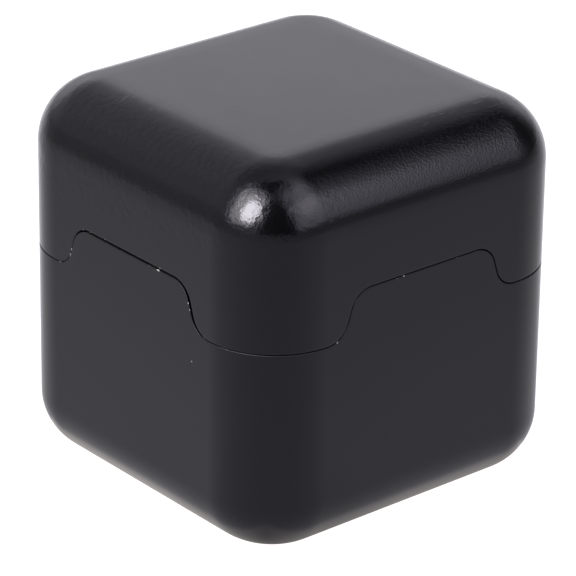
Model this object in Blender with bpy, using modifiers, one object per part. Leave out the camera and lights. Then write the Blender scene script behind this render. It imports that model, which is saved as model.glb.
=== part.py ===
"""Fidget cube in two metal halves that meet on a wavy seam.

The upper half carries a piston that runs in a steel cylinder liner in the lower half. Air trapped
under the piston lets the upper half sink slowly, the steep flanks of the seam line it up as it
closes, and four pairs of magnets in the corners snap it shut on a silicone ring.

Lengths are in millimetres and become metres in the mesh helpers. The origin is the middle of the
underside, +Z is up, and the axis of the piston is the Z axis.
"""

import math

import bmesh
import bpy
from mathutils import Matrix, Vector

MM = 0.001

# The cube
SIDE = 38.0
CORNER_RADIUS = 7.4  # the four upright edges
TOP_FILLET = 6.3  # the edges round the top face
BASE_FILLET = 5.9  # the edges round the base
CORNER_SEGMENTS = 8
FILLET_SEGMENTS = 6

# The seam between the halves, as heights above the base and distances from a side's centre line
SEAM_HIGH = 26.0  # across the middle of each side
SEAM_LOW = 21.4  # round each corner
FLANK_MIDDLE = 8.85
FLANK_ANGLE = math.radians(72.0)
SEAM_BEND = 2.38  # radius of the bends above and below a flank
SEAM_GAP = 0.12
BEND_SEGMENTS = 5
SEAM_RINGS = (14.5, 17.0, 20.5, 25.5)  # radii at which the radially ruled seam is divided

# Recesses inside the halves
LOWER_RECESS_RADIUS = 15.3
LOWER_RECESS_FLOOR = 19.0
UPPER_RECESS_RADIUS = 15.1
UPPER_RECESS_CEILING = 23.3

# Cylinder liner
BORE_RADIUS = 9.0
LINER_OUTER_RADIUS = 11.0
LINER_FLANGE_RADIUS = 14.9
LINER_BOTTOM = 4.05
LINER_TOP = 20.8
LINER_SEAT_GAP = 0.05
LINER_CHAMFER = 0.4
LINER_POCKET_RADIUS = 11.1
LINER_POCKET_FLOOR = 4.0

# Silicone ring in a groove in the liner's top face
LANDING_RING_RADIUS = 10.4
LANDING_RING_THICKNESS = 1.3
LANDING_GROOVE_WIDTH = 1.5
LANDING_GROOVE_DEPTH = 0.75

# Piston, a cup that is open towards the upper half
PISTON_RADIUS = 8.9
PISTON_BOTTOM = 5.0
PISTON_WALL_RADIUS = 6.2
PISTON_FLOOR = 7.8
PISTON_CHAMFER = 0.4
PISTON_FLANGE_RADIUS = 13.6
PISTON_FLANGE_BOTTOM = 21.45
PISTON_FLANGE_TOP = 23.25

# PTFE guide bands in the piston's grooves
BAND_OUTER_RADIUS = 8.96
BAND_INNER_RADIUS = 8.06
BAND_HEIGHT = 1.8
GROOVE_RADIUS = 8.0
GROOVE_PLAY = 0.05
BAND_SPLIT = 0.35
BAND_SPLIT_TILT = math.radians(35.0)
BAND_BOTTOMS = {"guide_band_lower": 5.6, "guide_band_upper": 17.2}

# Countersunk M1.6 screws
SCREW_HEAD_RADIUS = 1.5
SCREW_SHANK_RADIUS = 0.8
SCREW_LENGTH = 5.5
SCREW_TIP_CHAMFER = 0.25
SCREW_HEAD_RIM = 0.12  # height of the short straight edge round a head
SCREW_HEAD_SUNK = 0.06
SCREW_CLEARANCE = 0.08
SOCKET_ACROSS_CORNERS = 1.25
SOCKET_DEPTH = 0.7
LINER_SCREW_CIRCLE = 12.95
PISTON_SCREW_CIRCLE = 11.35

# Corner magnets
MAGNET_RADIUS = 2.5
MAGNET_HEIGHT = 2.0
MAGNET_CHAMFER = 0.2
MAGNET_SUNK = 0.1
MAGNET_CLEARANCE = 0.06
MAGNET_CIRCLE = 19.2

TURNED_STEPS = 48
SMALL_STEPS = 18
MAGNET_STEPS = 24
RING_SECTION_SIDES = 8
OVERSHOOT = 2.0  # how far a cutter runs past the face it cuts
MERGE_DISTANCE = 1e-6
SHARP_ANGLE = math.radians(30.0)

PARTS = "fidget_cube"
CUTTERS = "cutters"

BLACK_ANODISED = ("black_anodised_aluminium", (0.045, 0.044, 0.047), 0.36, 0.6)
GROUND_STEEL = ("ground_stainless_steel", (0.62, 0.62, 0.63), 0.24, 1.0)
NICKEL = ("nickel_plated_magnet", (0.72, 0.71, 0.69), 0.18, 1.0)
SCREW_STEEL = ("screw_stainless_steel", (0.5, 0.5, 0.52), 0.3, 1.0)
SILICONE = ("black_silicone", (0.02, 0.02, 0.021), 0.6, 0.0)
PTFE = ("filled_ptfe", (0.2, 0.33, 0.36), 0.5, 0.0)


def clear_scene():
    for obj in list(bpy.data.objects):
        bpy.data.objects.remove(obj, do_unlink=True)


def make_collection(name):
    found = bpy.data.collections.new(name)
    bpy.context.scene.collection.children.link(found)
    return found


def make_material(spec):
    name, colour, roughness, metallic = spec
    found = bpy.data.materials.get(name)
    if found:
        return found
    made = bpy.data.materials.new(name)
    made.use_nodes = True
    shader = made.node_tree.nodes["Principled BSDF"]
    shader.inputs["Base Color"].default_value = (*colour, 1.0)
    shader.inputs["Roughness"].default_value = roughness
    shader.inputs["Metallic"].default_value = metallic
    made.diffuse_color = (*colour, 1.0)
    return made


def finish_mesh(name, bm, collection):
    """Makes an object from a bmesh in millimetres, smooth shaded with sharp edges kept."""
    bmesh.ops.scale(bm, vec=(MM, MM, MM), verts=bm.verts)
    mesh = bpy.data.meshes.new(name)
    bm.to_mesh(mesh)
    bm.free()
    mesh.shade_smooth()
    mesh.set_sharp_from_angle(angle=SHARP_ANGLE)
    obj = bpy.data.objects.new(name, mesh)
    bpy.data.collections[collection].objects.link(obj)
    return obj


def make_part(name, bm, material, parent):
    obj = finish_mesh(name, bm, PARTS)
    obj.data.materials.append(make_material(material))
    obj.parent = parent
    return obj


def make_cutter(name, bm):
    obj = finish_mesh(name, bm, CUTTERS)
    obj.hide_render = True
    obj.display_type = "WIRE"
    return obj


def cut(obj, cutter):
    modifier = obj.modifiers.new(cutter.name, "BOOLEAN")
    modifier.operation = "DIFFERENCE"
    modifier.solver = "EXACT"
    modifier.object = cutter


def make_body(name):
    """An empty on the piston's axis that carries the pieces of one rigid body."""
    empty = bpy.data.objects.new(name, None)
    bpy.data.collections[PARTS].objects.link(empty)
    return empty


def cylinder(radius, low, high, steps=TURNED_STEPS, centre=(0.0, 0.0)):
    bm = bmesh.new()
    middle = Matrix.Translation((*centre, (low + high) / 2))
    bmesh.ops.create_cone(
        bm, cap_ends=True, segments=steps, radius1=radius, radius2=radius, depth=high - low, matrix=middle
    )
    return bm


def profile_mesh(profile, closed):
    """Edges through a list of (radius, height) points. The outer side is listed from top to bottom."""
    bm = bmesh.new()
    verts = [bm.verts.new((radius, 0.0, height)) for radius, height in profile]
    pairs = list(zip(verts, verts[1:]))
    if closed:
        pairs.append((verts[-1], verts[0]))
    for first, second in pairs:
        bm.edges.new((first, second))
    return bm


def add_screw_modifier(obj, steps):
    modifier = obj.modifiers.new("turn", "SCREW")
    modifier.axis = "Z"
    modifier.steps = steps
    modifier.render_steps = steps
    modifier.use_merge_vertices = True
    modifier.merge_threshold = MERGE_DISTANCE
    modifier.use_smooth_shade = True


def turned_part(name, profile, material, parent, steps=TURNED_STEPS, closed=True):
    obj = make_part(name, profile_mesh(profile, closed), material, parent)
    add_screw_modifier(obj, steps)
    return obj


def turned_cutter(name, profile, steps=SMALL_STEPS):
    obj = make_cutter(name, profile_mesh(profile, closed=False))
    add_screw_modifier(obj, steps)
    return obj


def corner_angles():
    """Directions of the four corners of the cube, seen from above."""
    return [math.radians(45.0 + 90.0 * index) for index in range(4)]


def side_angles():
    """Directions of the middles of the four sides, seen from above."""
    return [math.radians(90.0 * index) for index in range(4)]


def on_circle(radius, angle):
    return radius * math.cos(angle), radius * math.sin(angle)


# Seam


def flank_points(offset):
    """Points (distance from the side's middle, height) down one flank and its two bends.

    offset shifts the line along its own normal, up and outwards where it is positive, so the
    seams of the two halves stay parallel.
    """
    drop = SEAM_HIGH - SEAM_LOW
    run = drop / math.tan(FLANK_ANGLE) + 2 * SEAM_BEND * math.tan(FLANK_ANGLE / 2)
    crest = FLANK_MIDDLE - run / 2
    foot = FLANK_MIDDLE + run / 2
    crest_radius = SEAM_BEND + offset
    foot_radius = SEAM_BEND - offset
    turns = [FLANK_ANGLE * step / BEND_SEGMENTS for step in range(BEND_SEGMENTS + 1)]
    points = []
    for turn in turns:
        across = crest + crest_radius * math.sin(turn)
        height = SEAM_HIGH - SEAM_BEND + crest_radius * math.cos(turn)
        points.append((across, height))
    for turn in reversed(turns):
        across = foot - foot_radius * math.sin(turn)
        height = SEAM_LOW + SEAM_BEND - foot_radius * math.cos(turn)
        points.append((across, height))
    return points


def seam_loop(offset):
    """The whole seam as (angle about Z, height) pairs, once round the cube."""
    quarter = []
    for across, height in flank_points(offset):
        quarter.append((math.atan2(across, SIDE / 2), height))
    mirrored = [(-angle, height) for angle, height in reversed(quarter)]
    loop = []
    for side in side_angles():
        loop += [(side + angle, height) for angle, height in mirrored + quarter]
        loop.append((side + math.pi / 4, quarter[-1][1]))
    return loop


def seam_cutter(name, offset, far_height):
    """Everything between the radially ruled seam surface and a flat face at far_height."""
    bm = bmesh.new()
    loop = seam_loop(offset)
    rings = []
    for radius in SEAM_RINGS:
        rings.append([bm.verts.new((*on_circle(radius, angle), height)) for angle, height in loop])
    count = len(loop)
    for inner, outer in zip(rings, rings[1:]):
        for index in range(count):
            following = (index + 1) % count
            bm.faces.new((inner[index], outer[index], outer[following]))
            bm.faces.new((inner[index], outer[following], inner[following]))
    raised = bmesh.ops.extrude_face_region(bm, geom=list(bm.faces))
    for item in raised["geom"]:
        if isinstance(item, bmesh.types.BMVert):
            item.co.z = far_height
    bmesh.ops.recalc_face_normals(bm, faces=bm.faces)
    return make_cutter(name, bm)


# Halves


def is_upright(edge):
    first, second = edge.verts
    return abs(first.co.z - second.co.z) > SIDE / 2


def rim_edges(bm, height):
    """The edges round a flat face at one height."""
    return [edge for edge in bm.edges if all(abs(vert.co.z - height) < MERGE_DISTANCE for vert in edge.verts)]


def rounded_cube():
    """The outer shape of the closed cube, standing on the XY plane."""
    bm = bmesh.new()
    bmesh.ops.create_cube(bm, size=SIDE, matrix=Matrix.Translation((0.0, 0.0, SIDE / 2)))
    upright = [edge for edge in bm.edges if is_upright(edge)]
    bmesh.ops.bevel(
        bm, geom=upright, offset=CORNER_RADIUS, segments=CORNER_SEGMENTS, profile=0.5, affect="EDGES"
    )
    for height, fillet in ((SIDE, TOP_FILLET), (0.0, BASE_FILLET)):
        rim = rim_edges(bm, height)
        bmesh.ops.bevel(bm, geom=rim, offset=fillet, segments=FILLET_SEGMENTS, profile=0.5, affect="EDGES")
    return bm


def magnet_pockets(half, prefix, low, high):
    for number, angle in enumerate(corner_angles(), 1):
        centre = on_circle(MAGNET_CIRCLE, angle)
        pocket = cylinder(MAGNET_RADIUS + MAGNET_CLEARANCE, low, high, MAGNET_STEPS, centre)
        cut(half, make_cutter(f"{prefix}_magnet_pocket_{number}", pocket))


def screw_holes(half, prefix, circle, low, high):
    for number, angle in enumerate(screw_angles(prefix), 1):
        centre = on_circle(circle, angle)
        hole = cylinder(SCREW_SHANK_RADIUS + SCREW_CLEARANCE, low, high, SMALL_STEPS, centre)
        cut(half, make_cutter(f"{prefix}_screw_hole_{number}", hole))


def screw_angles(prefix):
    """The liner's screws face the sides and the piston's face the corners."""
    return side_angles() if prefix == "liner" else corner_angles()


def make_lower_half(parent):
    half = make_part("lower_half", rounded_cube(), BLACK_ANODISED, parent)
    cut(half, seam_cutter("above_lower_seam", -SEAM_GAP / 2, SIDE + OVERSHOOT))
    recess = cylinder(LOWER_RECESS_RADIUS, LOWER_RECESS_FLOOR, SIDE + OVERSHOOT)
    cut(half, make_cutter("lower_recess", recess))
    pocket = cylinder(LINER_POCKET_RADIUS, LINER_POCKET_FLOOR, LOWER_RECESS_FLOOR + OVERSHOOT)
    cut(half, make_cutter("liner_pocket", pocket))
    magnet_pockets(half, "lower", lower_magnet_base() - MAGNET_CLEARANCE, SEAM_LOW + OVERSHOOT)
    hole_floor = LINER_TOP - SCREW_LENGTH - 2 * SCREW_CLEARANCE - SCREW_HEAD_SUNK
    screw_holes(half, "liner", LINER_SCREW_CIRCLE, hole_floor, LOWER_RECESS_FLOOR + OVERSHOOT)


def make_upper_half(parent):
    half = make_part("upper_half", rounded_cube(), BLACK_ANODISED, parent)
    cut(half, seam_cutter("below_upper_seam", SEAM_GAP / 2, -OVERSHOOT))
    cut(half, make_cutter("upper_recess", cylinder(UPPER_RECESS_RADIUS, -OVERSHOOT, UPPER_RECESS_CEILING)))
    pocket_top = upper_magnet_base() + MAGNET_HEIGHT + MAGNET_CLEARANCE
    magnet_pockets(half, "upper", SEAM_LOW - OVERSHOOT, pocket_top)
    hole_top = PISTON_FLANGE_BOTTOM + SCREW_LENGTH + 2 * SCREW_CLEARANCE + SCREW_HEAD_SUNK
    screw_holes(half, "piston", PISTON_SCREW_CIRCLE, UPPER_RECESS_CEILING - OVERSHOOT, hole_top)


# Cylinder and piston


def make_cylinder_liner(parent):
    groove_inner = LANDING_RING_RADIUS - LANDING_GROOVE_WIDTH / 2
    groove_outer = LANDING_RING_RADIUS + LANDING_GROOVE_WIDTH / 2
    groove_floor = LINER_TOP - LANDING_GROOVE_DEPTH
    profile = [
        (BORE_RADIUS + LINER_CHAMFER / 2, LINER_TOP),
        (groove_inner, LINER_TOP),
        (groove_inner, groove_floor),
        (groove_outer, groove_floor),
        (groove_outer, LINER_TOP),
        (LINER_FLANGE_RADIUS, LINER_TOP),
        (LINER_FLANGE_RADIUS, LOWER_RECESS_FLOOR + LINER_SEAT_GAP),
        (LINER_OUTER_RADIUS, LOWER_RECESS_FLOOR + LINER_SEAT_GAP),
        (LINER_OUTER_RADIUS, LINER_BOTTOM),
        (BORE_RADIUS, LINER_BOTTOM),
        (BORE_RADIUS, LINER_TOP - LINER_CHAMFER),
    ]
    liner = turned_part("cylinder_liner", profile, GROUND_STEEL, parent)
    countersinks(liner, "liner", LINER_SCREW_CIRCLE, LINER_TOP, 1.0)


def make_landing_ring(parent):
    section_radius = LANDING_RING_THICKNESS / 2
    height = LINER_TOP - LANDING_GROOVE_DEPTH + section_radius + LINER_SEAT_GAP
    section = []
    for step in range(RING_SECTION_SIDES):
        turn = -2 * math.pi * step / RING_SECTION_SIDES
        across = LANDING_RING_RADIUS + section_radius * math.cos(turn)
        section.append((across, height + section_radius * math.sin(turn)))
    turned_part("landing_ring", section, SILICONE, parent)


def make_piston(parent):
    profile = [
        (PISTON_WALL_RADIUS, PISTON_FLANGE_TOP),
        (PISTON_FLANGE_RADIUS, PISTON_FLANGE_TOP),
        (PISTON_FLANGE_RADIUS, PISTON_FLANGE_BOTTOM),
        (PISTON_RADIUS, PISTON_FLANGE_BOTTOM),
    ]
    for bottom in sorted(BAND_BOTTOMS.values(), reverse=True):
        top = bottom + BAND_HEIGHT
        profile += [
            (PISTON_RADIUS, top + GROOVE_PLAY),
            (GROOVE_RADIUS, top + GROOVE_PLAY),
            (GROOVE_RADIUS, bottom - GROOVE_PLAY),
            (PISTON_RADIUS, bottom - GROOVE_PLAY),
        ]
    profile += [
        (PISTON_RADIUS, PISTON_BOTTOM + PISTON_CHAMFER),
        (PISTON_RADIUS - PISTON_CHAMFER, PISTON_BOTTOM),
        (0.0, PISTON_BOTTOM),
    ]
    inside = [(0.0, PISTON_FLOOR), (PISTON_WALL_RADIUS, PISTON_FLOOR)]
    piston = turned_part("piston", inside + profile, GROUND_STEEL, parent, closed=False)
    countersinks(piston, "piston", PISTON_SCREW_CIRCLE, PISTON_FLANGE_BOTTOM, -1.0)


def make_guide_bands(parent):
    """Split rings, each cut through by a slanted slot so that it springs into its groove."""
    for name, bottom in BAND_BOTTOMS.items():
        top = bottom + BAND_HEIGHT
        profile = [
            (BAND_INNER_RADIUS, top),
            (BAND_OUTER_RADIUS, top),
            (BAND_OUTER_RADIUS, bottom),
            (BAND_INNER_RADIUS, bottom),
        ]
        band = turned_part(name, profile, PTFE, parent)
        bm = bmesh.new()
        bmesh.ops.create_cube(bm, size=1.0)
        bmesh.ops.scale(bm, vec=(OVERSHOOT, BAND_SPLIT, 2 * BAND_HEIGHT), verts=bm.verts)
        bmesh.ops.rotate(bm, matrix=Matrix.Rotation(BAND_SPLIT_TILT, 3, "X"), verts=bm.verts)
        middle = Vector(((BAND_INNER_RADIUS + BAND_OUTER_RADIUS) / 2, 0.0, bottom + BAND_HEIGHT / 2))
        bmesh.ops.translate(bm, vec=middle, verts=bm.verts)
        cut(band, make_cutter(f"{name}_split", bm))


# Screws


def head_height():
    """A 90 degree countersink is as deep as its radius grows."""
    return SCREW_HEAD_RADIUS - SCREW_SHANK_RADIUS


def screw_mesh():
    """One screw with its head's face at the origin and its shank pointing down."""
    tip = SCREW_SHANK_RADIUS - SCREW_TIP_CHAMFER
    profile = [
        (0.0, 0.0),
        (SCREW_HEAD_RADIUS, 0.0),
        (SCREW_HEAD_RADIUS, -SCREW_HEAD_RIM),
        (SCREW_SHANK_RADIUS, -SCREW_HEAD_RIM - head_height()),
        (SCREW_SHANK_RADIUS, SCREW_TIP_CHAMFER - SCREW_LENGTH),
        (tip, -SCREW_LENGTH),
        (0.0, -SCREW_LENGTH),
    ]
    return profile_mesh(profile, closed=False)


def make_screws(prefix, circle, head_face, way, parent):
    """Four screws with their heads at head_face. way is 1 where the heads look up, -1 down."""
    tilt = 0.0 if way > 0 else math.pi
    for number, angle in enumerate(screw_angles(prefix), 1):
        screw = make_part(f"{prefix}_screw_{number}", screw_mesh(), SCREW_STEEL, parent)
        add_screw_modifier(screw, SMALL_STEPS)
        place = Vector((*on_circle(circle, angle), head_face - way * SCREW_HEAD_SUNK)) * MM
        screw.location = place
        screw.rotation_euler = (tilt, 0.0, 0.0)
        socket = cylinder(SOCKET_ACROSS_CORNERS / 2, -SOCKET_DEPTH, OVERSHOOT, 6)
        socket_cutter = make_cutter(f"{prefix}_screw_socket_{number}", socket)
        socket_cutter.location = place
        socket_cutter.rotation_euler = (tilt, 0.0, 0.0)
        cut(screw, socket_cutter)


def countersinks(flange, prefix, circle, face, way):
    """Clearance holes for a flange's screws, on the same side as make_screws puts the heads."""
    rim = SCREW_HEAD_RIM + SCREW_HEAD_SUNK + SCREW_CLEARANCE
    head = SCREW_HEAD_RADIUS + SCREW_CLEARANCE
    shank = SCREW_SHANK_RADIUS + SCREW_CLEARANCE
    profile = [
        (0.0, OVERSHOOT),
        (head, OVERSHOOT),
        (head, -rim),
        (shank, -rim - head_height()),
        (shank, -2 * OVERSHOOT),
        (0.0, -2 * OVERSHOOT),
    ]
    for number, angle in enumerate(screw_angles(prefix), 1):
        cutter = turned_cutter(f"{prefix}_countersink_{number}", profile)
        cutter.location = Vector((*on_circle(circle, angle), face)) * MM
        cutter.rotation_euler = (0.0 if way > 0 else math.pi, 0.0, 0.0)
        cut(flange, cutter)


# Magnets


def lower_magnet_base():
    return SEAM_LOW - SEAM_GAP / 2 - MAGNET_SUNK - MAGNET_HEIGHT


def upper_magnet_base():
    return SEAM_LOW + SEAM_GAP / 2 + MAGNET_SUNK


def make_magnets(prefix, base, parent):
    flat = MAGNET_RADIUS - MAGNET_CHAMFER
    profile = [
        (0.0, MAGNET_HEIGHT),
        (flat, MAGNET_HEIGHT),
        (MAGNET_RADIUS, MAGNET_HEIGHT - MAGNET_CHAMFER),
        (MAGNET_RADIUS, MAGNET_CHAMFER),
        (flat, 0.0),
        (0.0, 0.0),
    ]
    for number, angle in enumerate(corner_angles(), 1):
        magnet = turned_part(
            f"{prefix}_magnet_{number}", profile, NICKEL, parent, steps=MAGNET_STEPS, closed=False
        )
        magnet.location = Vector((*on_circle(MAGNET_CIRCLE, angle), base)) * MM


def main():
    clear_scene()
    make_collection(PARTS)
    make_collection(CUTTERS)
    lower = make_body("lower_body")
    guides = make_body("guide_body")
    upper = make_body("upper_body")
    guides.parent = lower
    upper.parent = guides

    make_lower_half(lower)
    make_cylinder_liner(lower)
    make_landing_ring(lower)
    make_screws("liner", LINER_SCREW_CIRCLE, LINER_TOP, 1.0, lower)
    make_magnets("lower", lower_magnet_base(), lower)

    make_guide_bands(guides)

    make_upper_half(upper)
    make_piston(upper)
    make_screws("piston", PISTON_SCREW_CIRCLE, PISTON_FLANGE_BOTTOM, -1.0, upper)
    make_magnets("upper", upper_magnet_base(), upper)


main()
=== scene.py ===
"""Looks of the fidget cube: finely meshed pieces in place of the CAD solids, materials, studio and camera."""

import math

import bmesh
import bpy
from mathutils import Matrix, Vector


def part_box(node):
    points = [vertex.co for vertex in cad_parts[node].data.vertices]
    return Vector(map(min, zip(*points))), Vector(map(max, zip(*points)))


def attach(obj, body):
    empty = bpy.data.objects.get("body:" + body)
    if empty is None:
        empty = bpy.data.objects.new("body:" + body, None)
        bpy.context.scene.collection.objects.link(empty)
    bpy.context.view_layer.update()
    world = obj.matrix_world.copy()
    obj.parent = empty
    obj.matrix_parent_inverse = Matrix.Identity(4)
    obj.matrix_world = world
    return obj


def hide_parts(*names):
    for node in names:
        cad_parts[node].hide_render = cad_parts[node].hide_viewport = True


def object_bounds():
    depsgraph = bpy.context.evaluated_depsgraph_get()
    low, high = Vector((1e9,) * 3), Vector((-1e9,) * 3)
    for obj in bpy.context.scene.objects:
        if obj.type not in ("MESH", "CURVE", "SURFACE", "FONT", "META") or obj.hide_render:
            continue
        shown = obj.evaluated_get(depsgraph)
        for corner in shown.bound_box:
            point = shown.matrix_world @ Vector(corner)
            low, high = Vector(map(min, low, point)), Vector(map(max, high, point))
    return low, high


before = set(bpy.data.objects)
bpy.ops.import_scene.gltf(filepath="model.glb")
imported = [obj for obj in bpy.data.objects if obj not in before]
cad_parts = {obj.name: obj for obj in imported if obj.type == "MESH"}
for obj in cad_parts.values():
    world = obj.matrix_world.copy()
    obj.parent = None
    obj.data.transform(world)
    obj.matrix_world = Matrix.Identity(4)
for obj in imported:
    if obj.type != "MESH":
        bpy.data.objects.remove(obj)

cad_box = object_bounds()

MM = 0.001
LOW_CORNER = Vector(cad_box[0])
HIGH_CORNER = Vector(cad_box[1])
SIDE = HIGH_CORNER.x - LOW_CORNER.x
HALF = SIDE / 2
HEIGHT = HIGH_CORNER.z
CENTRE = (LOW_CORNER + HIGH_CORNER) / 2

LOWER_BODY = "lower_half_assembly"
GUIDE_BODY = "guide_bands"
UPPER_BODY = "upper_half_assembly"

# Outer form
CORNER_RADIUS = 7.4 * MM
RIM_FILLET = 6.3 * MM  # round the top face
BASE_FILLET = 5.9 * MM
CORNER_STEPS = 28
FILLET_STEPS = 24
EASE = 0.3 * MM  # width of the strip that keeps a wall's shading flat up to its edge
ROLL_WIDTH = 1.4 * MM  # polishing has rounded the flat faces off a little towards their rims
ROLL_ANGLE = math.radians(3.0)
ROLL_STEPS = 6
SHARPEST_INSET = CORNER_RADIUS - 0.6 * MM  # rings drawn in further keep their corners and just shrink

# Seam, as in the CAD model
SEAM_HIGH = 26.0 * MM
SEAM_LOW = 21.4 * MM
FLANK_MIDDLE = 8.85 * MM
FLANK_ANGLE = math.radians(72.0)
SEAM_BEND = 2.38 * MM
SEAM_GAP = 0.12 * MM
BEND_STEPS = 16
PLATEAU_STEPS = 5
LIP = 0.05 * MM  # radius of the seam's outer edges
LIP_STEPS = 4
WORN_WIDTH = 0.22 * MM  # the strip beside a lip over which its wear fades out
TAB_SLACK = 0.13 * MM  # the -X tab is a little short of its notch
TAB_SIDE_SLACK = 0.12 * MM  # and a little narrow towards -Y
TAB_SHOULDER = 5.0 * MM  # from the tab's middle to where it has its full side slack
LOWER_WALL_RING = 0.62 * SEAM_LOW  # heights of one more ring in each half's plain wall
UPPER_WALL_RING = (HEIGHT - RIM_FILLET + SEAM_HIGH) / 2
UPPER_PLAY = Vector((0.0, -0.11)) * MM  # the upper half sits off centre by this much

# Insides of the halves
UPPER_RECESS_CEILING = 23.3 * MM
LINER_POCKET_RADIUS = 11.1 * MM
LINER_POCKET_FLOOR = 4.0 * MM
RECESS_CLEARANCE = 0.4 * MM
UPPER_RECESS_CLEARANCE = 1.5 * MM
INNER_EDGE = 0.2 * MM

TURNED_STEPS = 180
SMALL_STEPS = 60
ROUNDING_STEPS = 3
ROUNDING_SHARE = 0.45  # an arc takes at most this share of a profile's side
AXIS_SHARE = 0.02  # a profile that ends at the axis stops this share of its radius short of it
SHARP_ANGLE = math.radians(28.0)


# Rings and skins


class Skin:
    """A closed mesh grown ring by ring, capped flat at both ends unless it is closed on itself."""

    def __init__(self, name):
        self.name = name
        self.rings = []
        self.wear = []
        self.surface = []

    def add(self, *rings, wear=0.0, surface=0):
        """surface is the material slot of the faces that lead on to the next ring."""
        for ring in rings:
            self.rings.append(ring)
            self.wear.append(wear)
            self.surface.append(surface)

    def build(self, caps=True):
        bm = bmesh.new()
        worn = bm.verts.layers.float.new("wear")
        rows = []
        for ring, wear in zip(self.rings, self.wear):
            row = [bm.verts.new(point) for point in ring]
            for vert in row:
                vert[worn] = wear
            rows.append(row)
        pairs = list(zip(rows, rows[1:], self.surface))
        if caps:
            bm.faces.new(rows[0])
            bm.faces.new(rows[-1][::-1]).material_index = self.surface[-1]
        else:
            pairs.append((rows[-1], rows[0], self.surface[-1]))
        count = len(rows[0])
        for row, below, surface in pairs:
            for index in range(count):
                following = (index + 1) % count
                face = bm.faces.new((row[index], below[index], below[following], row[following]))
                face.material_index = surface
        bmesh.ops.recalc_face_normals(bm, faces=bm.faces)
        mesh = bpy.data.meshes.new(self.name)
        bm.to_mesh(mesh)
        bm.free()
        return link_object(self.name, mesh)


def link_object(name, data):
    obj = bpy.data.objects.new(name, data)
    bpy.context.scene.collection.objects.link(obj)
    return obj


def shade(obj):
    obj.data.shade_smooth()
    obj.data.set_sharp_from_angle(angle=SHARP_ANGLE)


def carve(obj, cutters):
    """Takes the cutters out of obj for good."""
    for cutter in cutters:
        modifier = obj.modifiers.new(cutter.name, "BOOLEAN")
        modifier.operation = "DIFFERENCE"
        modifier.solver = "EXACT"
        modifier.object = cutter
    bpy.context.view_layer.update()
    carved = bpy.data.meshes.new_from_object(obj.evaluated_get(bpy.context.evaluated_depsgraph_get()))
    obj.modifiers.clear()
    obj.data = carved
    for cutter in cutters:
        bpy.data.objects.remove(cutter)


def circle(radius, height, steps, centre=(0.0, 0.0)):
    points = []
    for step in range(steps):
        turn = 2 * math.pi * step / steps
        points.append((centre[0] + radius * math.cos(turn), centre[1] + radius * math.sin(turn), height))
    return points


def rounded(profile, radius, closed=False):
    """The profile with each corner turned into a small arc. radius is how far an arc reaches along a side."""
    points = []
    count = len(profile)
    for index, corner in enumerate(profile):
        at = Vector(corner)
        if not closed and index in (0, count - 1):
            points.append(at)
            continue
        before = Vector(profile[index - 1]) - at
        after = Vector(profile[(index + 1) % count]) - at
        reach = min(radius, before.length * ROUNDING_SHARE, after.length * ROUNDING_SHARE)
        start = at + before.normalized() * reach
        end = at + after.normalized() * reach
        for step in range(ROUNDING_STEPS + 1):
            share = step / ROUNDING_STEPS
            points.append(start * (1 - share) ** 2 + at * 2 * share * (1 - share) + end * share ** 2)
    return points


def turned(name, profile, steps=TURNED_STEPS, closed=False, centre=(0.0, 0.0)):
    """A turned piece from (radius, height) points."""
    piece = Skin(name)
    for radius, height in profile:
        piece.add(circle(radius, height, steps, centre))
    return piece.build(caps=not closed)


# Outline: stations round the cube


def flank_stations(offset):
    """(distance from the side's middle, height) down one flank; offset moves it along its normal."""
    drop = SEAM_HIGH - SEAM_LOW
    run = drop / math.tan(FLANK_ANGLE) + 2 * SEAM_BEND * math.tan(FLANK_ANGLE / 2)
    crest = FLANK_MIDDLE - run / 2
    foot = FLANK_MIDDLE + run / 2
    turns = [FLANK_ANGLE * step / BEND_STEPS for step in range(BEND_STEPS + 1)]
    points = []
    for turn in turns:
        reach = SEAM_BEND + offset
        points.append((crest + reach * math.sin(turn), SEAM_HIGH - SEAM_BEND + reach * math.cos(turn)))
    for turn in reversed(turns):
        reach = SEAM_BEND - offset
        points.append((foot - reach * math.sin(turn), SEAM_LOW + SEAM_BEND - reach * math.cos(turn)))
    return points


def half_side(offset):
    """Stations from the middle of a side to the middle of a corner.

    Each is (point on the side's outline, outward normal, height), for the side that faces +X.
    """
    flank = flank_stations(offset)
    stations = []
    for step in range(PLATEAU_STEPS):
        across = flank[0][0] * step / PLATEAU_STEPS
        stations.append((Vector((HALF, across)), Vector((1.0, 0.0)), flank[0][1]))
    for across, height in flank:
        stations.append((Vector((HALF, across)), Vector((1.0, 0.0)), height))
    centre = Vector((HALF - CORNER_RADIUS, HALF - CORNER_RADIUS))
    for step in range(CORNER_STEPS // 2 + 1):
        turn = math.pi / 2 * step / CORNER_STEPS
        normal = Vector((math.cos(turn), math.sin(turn)))
        stations.append((centre + CORNER_RADIUS * normal, normal, flank[-1][1]))
    return stations


def outline(offset):
    """Stations once round the cube, the seam line moved by offset along its own normal."""
    half = half_side(offset)
    mirrored = []
    for point, normal, height in half[:0:-1]:
        mirrored.append((Vector((point.x, -point.y)), Vector((normal.x, -normal.y)), height))
    side = mirrored[1:] + half
    stations = []
    for quarter in range(4):
        turn = Matrix.Rotation(math.pi / 2 * quarter, 2)
        for point, normal, height in side:
            stations.append((turn @ point, turn @ normal, height))
    return stations


def wall_ring(height, inset=0.0):
    """A level ring on the outer form at one height, drawn in by inset."""
    extra = max(0.0, inset - SHARPEST_INSET)
    scale = 1.0 - extra / (HALF - SHARPEST_INSET)
    ring = []
    for point, normal, _ in outline(0.0):
        drawn_in = (point - (inset - extra) * normal) * scale
        ring.append((*drawn_in, height))
    return ring


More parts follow.
